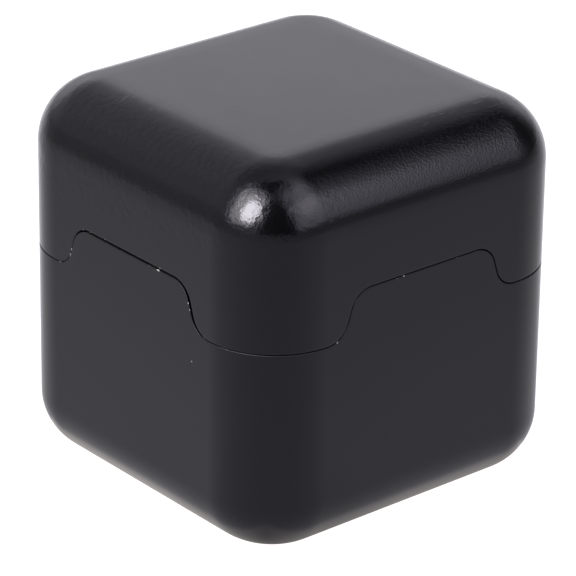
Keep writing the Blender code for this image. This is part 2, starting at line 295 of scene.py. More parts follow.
def settled(point, normal, height, way):
    """Where a seam point really sits: the upper half lies off centre, the -X tab is short and narrow."""
    crest = (height - SEAM_LOW) / (SEAM_HIGH - SEAM_LOW)
    if way > 0:
        along = Vector((-normal.y, normal.x))
        return point + along * along.dot(UPPER_PLAY), height
    this_side = max(0.0, -normal.x) ** 4
    shoulder = min(1.0, max(0.0, -point.y / TAB_SHOULDER))
    point = point + Vector((0.0, TAB_SIDE_SLACK * this_side * shoulder))
    return point, height - TAB_SLACK * crest * this_side


def seam_ring(offset, inset, way):
    """A ring along the seam line, moved by offset along its normal and drawn in by inset."""
    ring = []
    for point, normal, height in outline(offset):
        point, height = settled(point, normal, height, way)
        ring.append((*(point - inset * normal), height))
    return ring


def round_ring(radius, height):
    """A level circle with one point for each station."""
    return [(*(radius * point.normalized()), height) for point, _, _ in outline(0.0)]


def inner_seam_ring(offset, radius, way):
    """The seam's height carried straight in to a circle."""
    ring = []
    for point, normal, height in outline(offset):
        point, height = settled(point, normal, height, way)
        ring.append((*(radius * point.normalized()), height))
    return ring


def rim_rings(face, fillet, way):
    """Rings from a flat face round to the side walls. way is 1 for the top face and -1 for the base."""
    arc_inset = fillet * (1 - math.sin(ROLL_ANGLE))
    rings = []
    for step in range(ROLL_STEPS):
        share = step / ROLL_STEPS
        drop = ROLL_ANGLE * ROLL_WIDTH / 2 * share ** 2
        rings.append(wall_ring(face - way * drop, arc_inset + ROLL_WIDTH * (1 - share)))
    top_of_arc = ROLL_ANGLE * ROLL_WIDTH / 2 - fillet * (1 - math.cos(ROLL_ANGLE))
    for step in range(FILLET_STEPS + 1):
        turn = ROLL_ANGLE + (math.pi / 2 - ROLL_ANGLE) * step / FILLET_STEPS
        drop = top_of_arc + fillet * (1 - math.cos(turn))
        rings.append(wall_ring(face - way * drop, fillet * (1 - math.sin(turn))))
    rings.append(wall_ring(face - way * (top_of_arc + fillet + EASE)))
    return rings


def lip_rings(way):
    """The slightly rounded outer edge along the seam. way is 1 for the upper half."""
    rings = []
    for step in range(LIP_STEPS + 1):
        turn = math.pi / 2 * step / LIP_STEPS
        offset = way * (SEAM_GAP / 2 + LIP * (1 - math.sin(turn)))
        rings.append(seam_ring(offset, LIP * (1 - math.cos(turn)), way))
    return rings


# Halves

OUTSIDE = 0
INSIDE = 1


def on_circle(radius, angle):
    return radius * math.cos(angle), radius * math.sin(angle)


def middle_of(node):
    low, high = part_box(node)
    return (low + high) / 2


def inside_cutter(name, profile, centre):
    """A turned cutter that leaves the inside's material on what it cuts."""
    cutter = turned(name, profile, SMALL_STEPS, centre=centre)
    for _ in (OUTSIDE, INSIDE):
        cutter.data.materials.append(None)
    for face in cutter.data.polygons:
        face.material_index = INSIDE
    return cutter


POCKET_CLEARANCE = 0.06 * MM
POCKET_CHAMFER = 0.15 * MM
HOLE_CLEARANCE = 0.08 * MM
SCREW_SHANK_RADIUS = 0.8 * MM
PAST = 1.0 * MM  # how far a cutter runs past the face it opens
LINER_FLANGE_STANDS = 1.74 * MM  # from the recess floor to the screws' heads


def magnet_pockets(prefix, way):
    """Pockets for the four magnets, open towards way, each with a small chamfer round its mouth."""
    cutters = []
    for number in range(1, 5):
        node = f"{prefix}_magnet_{number}"
        low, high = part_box(node)
        radius = (high.x - low.x) / 2 + POCKET_CLEARANCE
        closed_end = (low.z if way > 0 else high.z) - way * POCKET_CLEARANCE
        mouth = SEAM_LOW - way * SEAM_GAP / 2
        profile = [
            (radius, closed_end),
            (radius, mouth - way * POCKET_CHAMFER),
            (radius + POCKET_CHAMFER + PAST, mouth + way * PAST),
        ]
        cutters.append(inside_cutter(f"{node}_pocket", profile, middle_of(node)[:2]))
    return cutters


def screw_holes(prefix, low, high):
    cutters = []
    radius = SCREW_SHANK_RADIUS + HOLE_CLEARANCE
    for number in range(1, 5):
        node = f"{prefix}_screw_{number}"
        profile = [(radius, low), (radius, high)]
        cutters.append(inside_cutter(f"{node}_hole", profile, middle_of(node)[:2]))
    return cutters


def lower_shell():
    gap = -SEAM_GAP / 2
    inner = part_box("cylinder_liner")[1].x + RECESS_CLEARANCE
    screw_low, screw_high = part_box("liner_screw_1")
    floor = screw_high.z - LINER_FLANGE_STANDS
    shell = Skin("lower_half_shell")
    shell.add(*rim_rings(LOW_CORNER.z, BASE_FILLET, -1))
    shell.add(wall_ring(LOWER_WALL_RING))
    shell.add(seam_ring(gap - WORN_WIDTH, 0.0, -1))
    shell.add(*lip_rings(-1), wear=1.0)
    shell.add(inner_seam_ring(gap, inner + INNER_EDGE, -1), surface=INSIDE)
    shell.add(inner_seam_ring(gap - INNER_EDGE, inner, -1), surface=INSIDE)
    shell.add(round_ring(inner, floor), surface=INSIDE)
    shell.add(round_ring(LINER_POCKET_RADIUS + INNER_EDGE, floor), surface=INSIDE)
    shell.add(round_ring(LINER_POCKET_RADIUS, floor - INNER_EDGE), surface=INSIDE)
    shell.add(round_ring(LINER_POCKET_RADIUS, LINER_POCKET_FLOOR), surface=INSIDE)
    shell = shell.build()
    holes = screw_holes("liner", screw_low.z - HOLE_CLEARANCE, floor + PAST)
    carve(shell, magnet_pockets("lower", 1) + holes)
    return shell


def upper_shell():
    gap = SEAM_GAP / 2
    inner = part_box("piston")[1].x + UPPER_RECESS_CLEARANCE
    shell = Skin("upper_half_shell")
    shell.add(*rim_rings(HIGH_CORNER.z, RIM_FILLET, 1))
    shell.add(wall_ring(UPPER_WALL_RING))
    shell.add(seam_ring(gap + WORN_WIDTH, 0.0, 1))
    shell.add(*lip_rings(1), wear=1.0)
    shell.add(inner_seam_ring(gap, inner + INNER_EDGE, 1), surface=INSIDE)
    shell.add(inner_seam_ring(gap + INNER_EDGE, inner, 1), surface=INSIDE)
    shell.add(round_ring(inner, UPPER_RECESS_CEILING), surface=INSIDE)
    shell = shell.build()
    holes_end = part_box("piston_screw_1")[1].z + HOLE_CLEARANCE
    holes = screw_holes("piston", UPPER_RECESS_CEILING - PAST, holes_end)
    carve(shell, magnet_pockets("upper", -1) + holes)
    return shell


# Liner, piston and what sits on them

BORE_RADIUS = 9.0 * MM
LINER_OUTER_RADIUS = 11.0 * MM
FLANGE_SEAT = 19.05 * MM
BORE_CHAMFER = 0.4 * MM
GROOVE_WIDTH = 1.5 * MM
GROOVE_DEPTH = 0.75 * MM
PISTON_RADIUS = 8.9 * MM
PISTON_WALL_RADIUS = 6.2 * MM
PISTON_FLOOR = 7.8 * MM
PISTON_CHAMFER = 0.4 * MM
FLANGE_UNDERSIDE = 21.45 * MM
BAND_GROOVE_RADIUS = 8.0 * MM
BAND_PLAY = 0.05 * MM
EDGE_BREAK = 0.12 * MM
COUNTERSINK_RUN = 4 * PAST

HEAD_RADIUS = 1.5 * MM
HEAD_RIM = 0.12 * MM
HEAD_SUNK = 0.06 * MM
HEAD_EDGE = 0.04 * MM
SOCKET_ACROSS_CORNERS = 1.25 * MM
SOCKET_DEPTH = 0.7 * MM
SOCKET_CHAMFER_DEPTH = 0.05 * MM
SOCKET_CHAMFER_WIDTH = 0.06 * MM
DRILL_POINT = 0.25 * MM
DRILL_SHARE = 0.8  # of the socket's radius
DRILL_TIP_SHARE = 0.1
THREAD_PITCH = 0.35 * MM
THREAD_DEPTH = 0.13 * MM
THREAD_STEPS_PER_TURN = 24
THREAD_ROWS_PER_PITCH = 6
TIP_CHAMFER = 0.25 * MM
SCREW_STOPS = Vector((900.0, 500.0))  # radians per metre, so that each screw stops at an angle of its own


def countersinks(prefix, face, way):
    """Cutters for a flange's screw holes, their heads towards way."""
    head = HEAD_RADIUS + HOLE_CLEARANCE
    shank = SCREW_SHANK_RADIUS + HOLE_CLEARANCE
    rim = HEAD_RIM + HEAD_SUNK + HOLE_CLEARANCE
    cutters = []
    for number in range(1, 5):
        node = f"{prefix}_screw_{number}"
        profile = [
            (head + EDGE_BREAK + PAST, face + way * PAST),
            (head, face - way * EDGE_BREAK),
            (head, face - way * rim),
            (shank, face - way * (rim + HEAD_RADIUS - SCREW_SHANK_RADIUS)),
            (shank, face - way * COUNTERSINK_RUN),
        ]
        cutters.append(turned(f"{node}_countersink", profile, SMALL_STEPS, centre=middle_of(node)[:2]))
    return cutters


def cylinder_liner():
    low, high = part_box("cylinder_liner")
    ring_low, ring_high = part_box("landing_ring")
    section = ring_high.z - ring_low.z
    ring_middle = ring_high.x - section / 2
    profile = [
        (BORE_RADIUS + BORE_CHAMFER / 2, high.z),
        (ring_middle - GROOVE_WIDTH / 2, high.z),
        (ring_middle - GROOVE_WIDTH / 2, high.z - GROOVE_DEPTH),
        (ring_middle + GROOVE_WIDTH / 2, high.z - GROOVE_DEPTH),
        (ring_middle + GROOVE_WIDTH / 2, high.z),
        (high.x, high.z),
        (high.x, FLANGE_SEAT),
        (LINER_OUTER_RADIUS, FLANGE_SEAT),
        (LINER_OUTER_RADIUS, low.z),
        (BORE_RADIUS, low.z),
        (BORE_RADIUS, high.z - BORE_CHAMFER),
    ]
    liner = turned("cylinder_liner_ground", rounded(profile, EDGE_BREAK, closed=True), closed=True)
    carve(liner, countersinks("liner", high.z, 1))
    return liner


RING_SECTION_STEPS = 28
PARTING_LINE = 0.035 * MM


def landing_ring():
    """A moulded ring, with the thin ridge where its mould parted."""
    low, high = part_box("landing_ring")
    section = (high.z - low.z) / 2
    middle = high.x - section
    profile = []
    for step in range(RING_SECTION_STEPS):
        turn = -2 * math.pi * step / RING_SECTION_STEPS
        ridge = PARTING_LINE if step in (0, RING_SECTION_STEPS // 2) else 0.0
        reach = section - PARTING_LINE + ridge
        profile.append((middle + reach * math.cos(turn), (low.z + high.z) / 2 + reach * math.sin(turn)))
    return turned("landing_ring_moulded", profile, closed=True)


def piston():
    low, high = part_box("piston")
    profile = [
        (PISTON_WALL_RADIUS * AXIS_SHARE, PISTON_FLOOR),
        (PISTON_WALL_RADIUS, PISTON_FLOOR),
        (PISTON_WALL_RADIUS, high.z),
        (high.x, high.z),
        (high.x, FLANGE_UNDERSIDE),
        (PISTON_RADIUS, FLANGE_UNDERSIDE),
    ]
    for node in ("guide_band_upper", "guide_band_lower"):
        band_low, band_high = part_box(node)
        profile += [
            (PISTON_RADIUS, band_high.z + BAND_PLAY),
            (BAND_GROOVE_RADIUS, band_high.z + BAND_PLAY),
            (BAND_GROOVE_RADIUS, band_low.z - BAND_PLAY),
            (PISTON_RADIUS, band_low.z - BAND_PLAY),
        ]
    profile += [
        (PISTON_RADIUS, low.z + PISTON_CHAMFER),
        (PISTON_RADIUS - PISTON_CHAMFER, low.z),
        (PISTON_WALL_RADIUS * AXIS_SHARE, low.z),
    ]
    made = turned("piston_ground", rounded(profile, EDGE_BREAK / 2))
    carve(made, countersinks("piston", FLANGE_UNDERSIDE, -1))
    return made


BAND_STEPS = 150
BAND_SEAT_GAP = 0.06 * MM
BAND_THICKNESS = 0.9 * MM
BAND_SPLIT = 0.36 * MM
BAND_SPLIT_TILT = math.radians(35.0)


def guide_band(node):
    """A split ring. Its two ends are cut on a slant, so every section leans by that angle."""
    low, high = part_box(node)
    inner = BAND_GROOVE_RADIUS + BAND_SEAT_GAP
    outer = inner + BAND_THICKNESS
    corners = [(inner, high.z), (outer, high.z), (outer, low.z), (inner, low.z)]
    section = rounded(corners, EDGE_BREAK, closed=True)
    middle = (low.z + high.z) / 2
    half_split = BAND_SPLIT / math.cos(BAND_SPLIT_TILT) / 2 / outer
    band = Skin(f"{node}_split_ring")
    for step in range(BAND_STEPS + 1):
        turn = half_split + (2 * math.pi - 2 * half_split) * step / BAND_STEPS
        ring = []
        for radius, height in section:
            lean = (height - middle) * math.tan(BAND_SPLIT_TILT) / outer
            ring.append((*on_circle(radius, turn - lean), height))
        band.add(ring)
    return band.build()


def hexagon_ring(radius, height):
    """A hexagon of as many points as a thread turn, so that it joins the round rings."""
    ring = []
    for step in range(THREAD_STEPS_PER_TURN):
        turn = 2 * math.pi * step / THREAD_STEPS_PER_TURN
        slope = (turn % (math.pi / 3)) - math.pi / 6
        ring.append((*on_circle(radius * math.cos(math.pi / 6) / math.cos(slope), turn), height))
    return ring


def thread_radius(height, turn):
    """The radius of a helical ridge with sloping sides."""
    phase = (height / THREAD_PITCH - turn / (2 * math.pi)) % 1.0
    return SCREW_SHANK_RADIUS - THREAD_DEPTH * abs(2 * phase - 1)


def screw(node, way):
    """A countersunk screw with a hex socket and a real helical thread. way is 1 where its head looks up."""
    low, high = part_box(node)
    length = high.z - low.z
    steps = THREAD_STEPS_PER_TURN
    neck = -HEAD_RIM - (HEAD_RADIUS - SCREW_SHANK_RADIUS)
    made = Skin(f"{node}_threaded")
    socket = SOCKET_ACROSS_CORNERS / 2
    made.add(circle(socket * DRILL_TIP_SHARE, -SOCKET_DEPTH - DRILL_POINT, steps))
    made.add(circle(socket * DRILL_SHARE, -SOCKET_DEPTH, steps))
    made.add(hexagon_ring(socket, -SOCKET_DEPTH))
    made.add(hexagon_ring(socket, -SOCKET_CHAMFER_DEPTH))
    made.add(circle(socket + SOCKET_CHAMFER_WIDTH, 0.0, steps))
    made.add(circle(HEAD_RADIUS - HEAD_EDGE, 0.0, steps))
    made.add(circle(HEAD_RADIUS, -HEAD_EDGE, steps))
    made.add(circle(HEAD_RADIUS, -HEAD_RIM, steps))
    made.add(circle(SCREW_SHANK_RADIUS, neck, steps))
    rows = int((length - TIP_CHAMFER + neck) / THREAD_PITCH * THREAD_ROWS_PER_PITCH)
    for row in range(1, rows + 1):
        height = neck - row * THREAD_PITCH / THREAD_ROWS_PER_PITCH
        run_in = min(1.0, row / THREAD_ROWS_PER_PITCH)
        ring = []
        for step in range(steps):
            turn = 2 * math.pi * step / steps
            depth = SCREW_SHANK_RADIUS - thread_radius(height, turn)
            ring.append((*on_circle(SCREW_SHANK_RADIUS - depth * run_in, turn), height))
        made.add(ring)
    made.add(circle(SCREW_SHANK_RADIUS - TIP_CHAMFER, -length, steps))
    made = made.build()
    place = middle_of(node)
    tilt = 0.0 if way > 0 else math.pi
    head = high.z if way > 0 else low.z
    turned_in = Matrix.Rotation(SCREW_STOPS.dot(place.xy), 4, "Z")
    upright = Matrix.Rotation(tilt, 4, "X") @ turned_in
    made.data.transform(Matrix.Translation((place.x, place.y, head)) @ upright)
    return made


MAGNET_ROUNDING = 0.2 * MM


def magnet(node):
    low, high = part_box(node)
    radius = (high.x - low.x) / 2
    hub = radius * AXIS_SHARE
    profile = rounded([(hub, low.z), (radius, low.z), (radius, high.z), (hub, high.z)], MAGNET_ROUNDING)
    return turned(f"{node}_plated", profile, SMALL_STEPS, centre=middle_of(node)[:2])


# Materials


class Graph:
    """Short calls for wiring shader nodes."""

    def __init__(self, tree):
        self.nodes = tree.nodes
        self.links = tree.links

    def put(self, socket, value):
        if isinstance(value, bpy.types.NodeSocket):
            self.links.new(value, socket)
        else:
            socket.default_value = value

    def math(self, operation, first, second=0.0, third=0.0, clamp=False):
        node = self.nodes.new("ShaderNodeMath")
        node.operation = operation
        node.use_clamp = clamp
        for socket, value in zip(node.inputs, (first, second, third)):
            self.put(socket, value)
        return node.outputs[0]

    def add(self, first, second):
        return self.math("ADD", first, second)

    def times(self, first, *others):
        for other in others:
            first = self.math("MULTIPLY", first, other)
        return first

    def larger(self, first, second):
        return self.math("MAXIMUM", first, second)

    def vector(self, operation, first, second):
        node = self.nodes.new("ShaderNodeVectorMath")
        node.operation = operation
        self.put(node.inputs[0], first)
        self.put(node.inputs[1], second)
        return node.outputs["Value" if operation == "DOT_PRODUCT" else "Vector"]

    def dot(self, first, second):
        return self.vector("DOT_PRODUCT", first, second)

    def place(self):
        """The point on the piece, in metres, which moves with the piece."""
        return self.nodes.new("ShaderNodeTexCoord").outputs["Object"]

    def facing(self):
        return self.nodes.new("ShaderNodeTexCoord").outputs["Normal"]

    def split(self, vector):
        node = self.nodes.new("ShaderNodeSeparateXYZ")
        self.put(node.inputs[0], vector)
        return node.outputs

    def join(self, x, y, z=0.0):
        node = self.nodes.new("ShaderNodeCombineXYZ")
        for socket, value in zip(node.inputs, (x, y, z)):
            self.put(socket, value)
        return node.outputs[0]

    def noise(self, where, scale, detail=2.0, roughness=0.5):
        node = self.nodes.new("ShaderNodeTexNoise")
        self.put(node.inputs["Vector"], where)
        self.put(node.inputs["Scale"], scale)
        self.put(node.inputs["Detail"], detail)
        self.put(node.inputs["Roughness"], roughness)
        return node.outputs["Fac"]

    def cells(self, where, scale):
        """Distance to the nearest cell's point, and a random colour for each cell."""
        node = self.nodes.new("ShaderNodeTexVoronoi")
        self.put(node.inputs["Vector"], where)
        self.put(node.inputs["Scale"], scale)
        return node.outputs["Distance"], node.outputs["Color"]

    def span(self, value, low, high, to_low=0.0, to_high=1.0):
        """value from low..high to to_low..to_high, clamped."""
        node = self.nodes.new("ShaderNodeMapRange")
        for socket, number in zip(node.inputs, (value, low, high, to_low, to_high)):
            self.put(socket, number)
        return node.outputs[0]

    def blend(self, share, first, second):
        node = self.nodes.new("ShaderNodeMix")
        node.data_type = "RGBA"
        self.put(node.inputs[0], share)
        self.put(node.inputs[6], first)
        self.put(node.inputs[7], second)
        return node.outputs[2]

    def mix(self, share, first, second):
        node = self.nodes.new("ShaderNodeMix")
        self.put(node.inputs[0], share)
        self.put(node.inputs[2], first)
        self.put(node.inputs[3], second)
        return node.outputs[0]

    def attribute(self, name):
        """A value kept on the mesh, such as the wear along the seam."""
        node = self.nodes.new("ShaderNodeAttribute")
        node.attribute_name = name
        return node.outputs["Fac"]

    def bump(self, height, depth):
        """A normal tilted by height, which is depth metres from 0 to 1."""
        node = self.nodes.new("ShaderNodeBump")
        self.put(node.inputs["Height"], height)
        node.inputs["Distance"].default_value = depth
        node.inputs["Strength"].default_value = 1.0
        return node.outputs[0]


def new_material(name, metallic=0.0, ior=1.5):
    made = bpy.data.materials.new(name)
    made.use_nodes = True
    graph = Graph(made.node_tree)
    shader = made.node_tree.nodes["Principled BSDF"]
    shader.inputs["Metallic"].default_value = metallic
    shader.inputs["IOR"].default_value = ior
    return made, graph, shader


def grey(level, tint=(1.0, 1.0, 1.0)):
    """A grey of the given reflectance, tinted."""
    return (level * tint[0], level * tint[1], level * tint[2], 1.0)


ANODISED_TINT = (0.885, 0.865, 1.0, 1.0)
ANODISED_IOR = 1.41
DYED = (0.0014, 0.0013, 0.0017, 1.0)
DYED_PALER = grey(0.006, (1.0, 0.97, 1.08))
# paler colour of the top's blotches: partly a fingerprint film, partly painted sheen that stands in for the
# blotchy reflection of the top
FINGER_FILM_AND_SHEEN = (0.0045, 0.0043, 0.0046, 1.0)
BARE_ALUMINIUM = (0.22, 0.22, 0.225, 1.0)
DUST = (0.16, 0.155, 0.15, 1.0)
DUST_SIZE = 0.11 * MM
DUST_SHARE = 0.07
OUTSIDE_RELIEF = 0.009 * MM

# Scales of the patterns, here and below, are in cycles per metre
SMUDGE_SCALE = 110.0
PORE_SCALE = 5500.0
SWELL_SCALE = 1550.0
BRUSHED_ALONG_X = 300.0
BRUSHED_ACROSS_X = 6500.0
NICK_SCALE = 2600.0
NICK_PLACE_SCALE = 640.0
SCUFF_SCALE = 170.0
FILM_AND_SHEEN_SCALE = 700.0
DUST_SCALE = 260.0

# Where the outside's finish changes: places (left is -X), and the upward part of the surface's normal
ALONG_X = (-14.0 * MM, 14.0 * MM)
NEAR_LEFT_SIDE = (-15.0 * MM, -9.0 * MM)
NEAR_LEFT_RIM = (-15.0 * MM, -8.0 * MM)
ON_LEFT_SIDE = (-18.0 * MM, -10.0 * MM)
ABOVE_SEAM = (26.0 * MM, 31.0 * MM)
TOP_FILLET = (32.0 * MM, 36.0 * MM)
FLAT_TOP = (0.94, 0.99)
RIM_STARTS = (0.9, 0.96)
RIM_ENDS = (0.9992, 0.99999)


def dust(graph, where, scale, size, kept):
    """Tiny specks: one in each cell of the given scale, on only the kept share of the cells."""
    distance, colour = graph.cells(where, scale)
    chosen = graph.math("LESS_THAN", graph.split(colour)[0], kept)
    speck = graph.math("LESS_THAN", distance, graph.times(graph.split(colour)[1], size * scale))
    return graph.times(chosen, speck)


def outside_relief(graph, where, smudge, level, brushing):
    """Pores that grow towards +X and the top, ripples near the left side, and brushing on the flat top."""
    x, _, z = graph.split(where)
    high = graph.span(z, *ABOVE_SEAM)
    growing = graph.times(graph.span(x, *ALONG_X, 0.1, 1.3), graph.span(z, *TOP_FILLET, 0.3, 1.1))
    left = graph.times(graph.span(x, *NEAR_LEFT_SIDE, 1.0, 0.0), high, 0.22)
    pores = graph.span(graph.noise(where, PORE_SCALE, 0.0), 0.42, 0.72)
    patchy = graph.span(smudge, 0.35, 0.65, 0.7, 1.3)
    grain = graph.times(pores, graph.add(growing, left), patchy)
    swell = graph.noise(where, SWELL_SCALE, 1.0)
    ripples = graph.times(swell, graph.span(x, *NEAR_LEFT_RIM, 3.2, 0.6), graph.mix(high, 0.12, 1.0))
    brushed = graph.add(graph.times(swell, 0.1), graph.times(brushing, 0.9))
    return graph.mix(level, graph.add(grain, ripples), brushed)


def bare_metal(graph, where, wear, upward, brushing):
    """Nicks along the seam, knocked through to the metal, and faint scuffs round the top's rim."""
    x = graph.split(where)[0]
    knocked = graph.times(wear, graph.span(x, *ON_LEFT_SIDE, 1.0, 0.9))
    nick = graph.times(graph.noise(where, NICK_SCALE, 1.0), graph.noise(where, NICK_PLACE_SCALE, 1.0))
    nicked = graph.span(graph.times(knocked, nick), 0.4, 0.42)
    rim = graph.times(graph.span(upward, *RIM_STARTS), graph.span(upward, *RIM_ENDS, 1.0, 0.0))
    patches = graph.span(graph.noise(where, SCUFF_SCALE, 1.0), 0.54, 0.6)
    scuffs = graph.times(patches, graph.span(brushing, 0.62, 0.68), rim)
    return graph.larger(nicked, graph.times(scuffs, 0.25))


def anodised_outside():
    """Polished, fine-pored black anodising, brushed on the top, nicked along the seam, a little dusty."""
    made, graph, shader = new_material("black_anodised", ior=ANODISED_IOR)
    shader.inputs["Specular Tint"].default_value = ANODISED_TINT
    where = graph.place()
    x, y = graph.split(where)[:2]
    smudge = graph.noise(where, SMUDGE_SCALE, 3.0)
    upward = graph.split(graph.facing())[2]
    level = graph.span(upward, *FLAT_TOP)
    stroke = graph.join(graph.times(x, BRUSHED_ALONG_X), graph.times(y, BRUSHED_ACROSS_X))
    brushing = graph.noise(stroke, 1.0, 3.0, 0.7)
    relief = outside_relief(graph, where, smudge, level, brushing)
    graph.put(shader.inputs["Normal"], graph.bump(relief, OUTSIDE_RELIEF))
    wear = graph.attribute("wear")
    bare = bare_metal(graph, where, wear, upward, brushing)
    specks = dust(graph, where, DUST_SCALE, DUST_SIZE, DUST_SHARE)
    # paler blotches on the flat top only: partly a fingerprint film, partly painted sheen for the top's
    # blotchy reflection
    blotches = graph.times(level, graph.span(graph.noise(where, FILM_AND_SHEEN_SCALE, 3.0, 0.7), 0.42, 0.7))
    colour = graph.blend(bare, graph.blend(blotches, DYED, FINGER_FILM_AND_SHEEN), BARE_ALUMINIUM)
    graph.put(shader.inputs["Base Color"], graph.blend(specks, colour, DUST))
    polished = graph.span(smudge, 0.3, 0.7, 0.125, 0.155)
    dull = graph.larger(graph.times(specks, 0.7), graph.span(wear, 0.8, 1.0, 0.0, 0.5))
    graph.put(shader.inputs["Roughness"], graph.larger(polished, dull))
    return made


MARK_DRIFT = 0.35  # how fast a groove's depth changes along it, per radian


def turned_marks(graph, where, pitch):
    """Fine grooves that run round the upright axis, on walls and flat faces, and the radius they lie at."""
    x, y, z = graph.split(where)
    radius = graph.math("SQRT", graph.add(graph.times(x, x), graph.times(y, y)))
    angle = graph.math("ARCTAN2", y, x)
    across, up = graph.times(radius, 1 / pitch), graph.times(z, 1 / pitch)
    rings = graph.join(across, up, graph.times(angle, MARK_DRIFT))
    return graph.noise(rings, 1.0, 3.0, 0.65), radius


INSIDE_PITCH = 0.09 * MM
INSIDE_RELIEF = 0.006 * MM
INSIDE_SMUDGE_SCALE = 160.0


def anodised_inside():
    """Black anodising over the marks of the lathe."""
    made, graph, shader = new_material("black_anodised_turned", ior=ANODISED_IOR)
    shader.inputs["Specular Tint"].default_value = ANODISED_TINT
    where = graph.place()
    marks = turned_marks(graph, where, INSIDE_PITCH)[0]
    smudge = graph.noise(where, INSIDE_SMUDGE_SCALE, 3.0)
    graph.put(shader.inputs["Base Color"], graph.blend(smudge, DYED, DYED_PALER))
    graph.put(shader.inputs["Roughness"], graph.span(smudge, 0.3, 0.7, 0.24, 0.34))
    graph.put(shader.inputs["Normal"], graph.bump(marks, INSIDE_RELIEF))
    return made


STEEL_PITCH = 0.07 * MM
STEEL_RELIEF = 0.005 * MM
STEEL_FILM_SCALE = 230.0
HONING_SLOPE = 0.55
HONED_ACROSS = 16000.0
HONED_ALONG = 260.0


def ground_steel(name, honed_radius=0.0):
    """Turned and ground stainless steel. Inside honed_radius it has crossed honing lines."""
    made, graph, shader = new_material(name, metallic=1.0)
    where = graph.place()
    marks, radius = turned_marks(graph, where, STEEL_PITCH)
    x, y, z = graph.split(where)
    round_way = graph.times(graph.math("ARCTAN2", y, x), honed_radius)
    lines = []
    for slope in (HONING_SLOPE, -HONING_SLOPE):
        across = graph.add(z, graph.times(round_way, slope))
        along = graph.add(graph.times(z, slope), round_way)
        stretched = graph.join(graph.times(across, HONED_ACROSS), graph.times(along, HONED_ALONG))
        lines.append(graph.noise(stretched, 1.0, 2.0, 0.6))
    honing = graph.math("MINIMUM", *lines)
    in_bore = graph.math("LESS_THAN", radius, honed_radius)
    height = graph.mix(in_bore, marks, honing)
    blotches = graph.noise(where, STEEL_FILM_SCALE, 4.0, 0.6)
    graph.put(shader.inputs["Base Color"], graph.blend(blotches, grey(0.5, (1.0, 0.99, 0.97)), grey(0.66)))
    worn = graph.span(graph.add(blotches, graph.times(height, 0.4)), 0.45, 0.95, 0.2, 0.36)
    graph.put(shader.inputs["Roughness"], worn)
    graph.put(shader.inputs["Normal"], graph.bump(height, STEEL_RELIEF))
    return made


SILICONE_RELIEF = 0.009 * MM
BLOOM_SCALE = 700.0
RUBBER_GRAIN_SCALE = 9000.0


def silicone():
    """Matt black rubber, bloomed grey in places."""
    made, graph, shader = new_material("silicone", ior=1.42)
    where = graph.place()
    bloom = graph.noise(where, BLOOM_SCALE, 5.0, 0.7)
    skin_grain = graph.noise(where, RUBBER_GRAIN_SCALE, 2.0)
    dusting = graph.span(bloom, 0.45, 0.75)
    graph.put(shader.inputs["Base Color"], graph.blend(dusting, grey(0.012), grey(0.035)))
    graph.put(shader.inputs["Roughness"], graph.span(bloom, 0.3, 0.7, 0.48, 0.66))
    graph.put(shader.inputs["Normal"], graph.bump(skin_grain, SILICONE_RELIEF))
    return made


SKIVED_PITCH = 0.16 * MM
PTFE_RELIEF = 0.007 * MM
PTFE_CLOUD_SCALE = 900.0
PTFE_DARK = (0.075, 0.12, 0.115, 1.0)
PTFE_PALE = (0.13, 0.19, 0.175, 1.0)
BRONZE = (0.36, 0.22, 0.1, 1.0)
FLECK_SCALE = 9500.0
FLECK_SHARE = 0.22


def filled_ptfe():
    """Bronze-filled PTFE: dull green-grey with metal flecks and skived lines round it."""
    made, graph, shader = new_material("ptfe", ior=1.36)
    where = graph.place()
    marks = turned_marks(graph, where, SKIVED_PITCH)[0]
    cloud = graph.noise(where, PTFE_CLOUD_SCALE, 4.0, 0.6)
    distance, colour = graph.cells(where, FLECK_SCALE)
    chosen = graph.math("LESS_THAN", graph.split(colour)[0], FLECK_SHARE)
    fleck = graph.times(chosen, graph.span(distance, 0.5, 0.3))
    body = graph.blend(cloud, PTFE_DARK, PTFE_PALE)
    graph.put(shader.inputs["Base Color"], graph.blend(fleck, body, BRONZE))
    graph.put(shader.inputs["Metallic"], graph.times(fleck, 0.8))
    graph.put(shader.inputs["Roughness"], graph.span(cloud, 0.3, 0.7, 0.42, 0.58))
    graph.put(shader.inputs["Normal"], graph.bump(graph.add(marks, graph.times(fleck, 0.5)), PTFE_RELIEF))
    return made


SCREW_RELIEF = 0.004 * MM
TARNISH_SCALE = 1300.0
SCREW_SCRATCH_SCALES = (9000.0, 1400.0, 5000.0)


def screw_steel():
    """Bright stainless steel, a little tarnished and scratched."""
    made, graph, shader = new_material("screw_steel", metallic=1.0)
    where = graph.place()
    tarnish = graph.noise(where, TARNISH_SCALE, 4.0, 0.65)
    scratches = graph.noise(graph.vector("MULTIPLY", where, SCREW_SCRATCH_SCALES), 1.0, 2.0)
    colour = graph.blend(graph.span(tarnish, 0.4, 0.7), grey(0.55), grey(0.33, (1.0, 0.95, 0.88)))
    graph.put(shader.inputs["Base Color"], colour)
    graph.put(shader.inputs["Roughness"], graph.span(tarnish, 0.3, 0.7, 0.2, 0.42))
    graph.put(shader.inputs["Normal"], graph.bump(scratches, SCREW_RELIEF))
    return made


NICKEL_RELIEF = 0.006 * MM
RIPPLE_SCALE = 1900.0
DULL_SPOT_SCALE = 800.0
NICKEL_SCRATCH_SCALES = (700.0, 15000.0, 700.0)


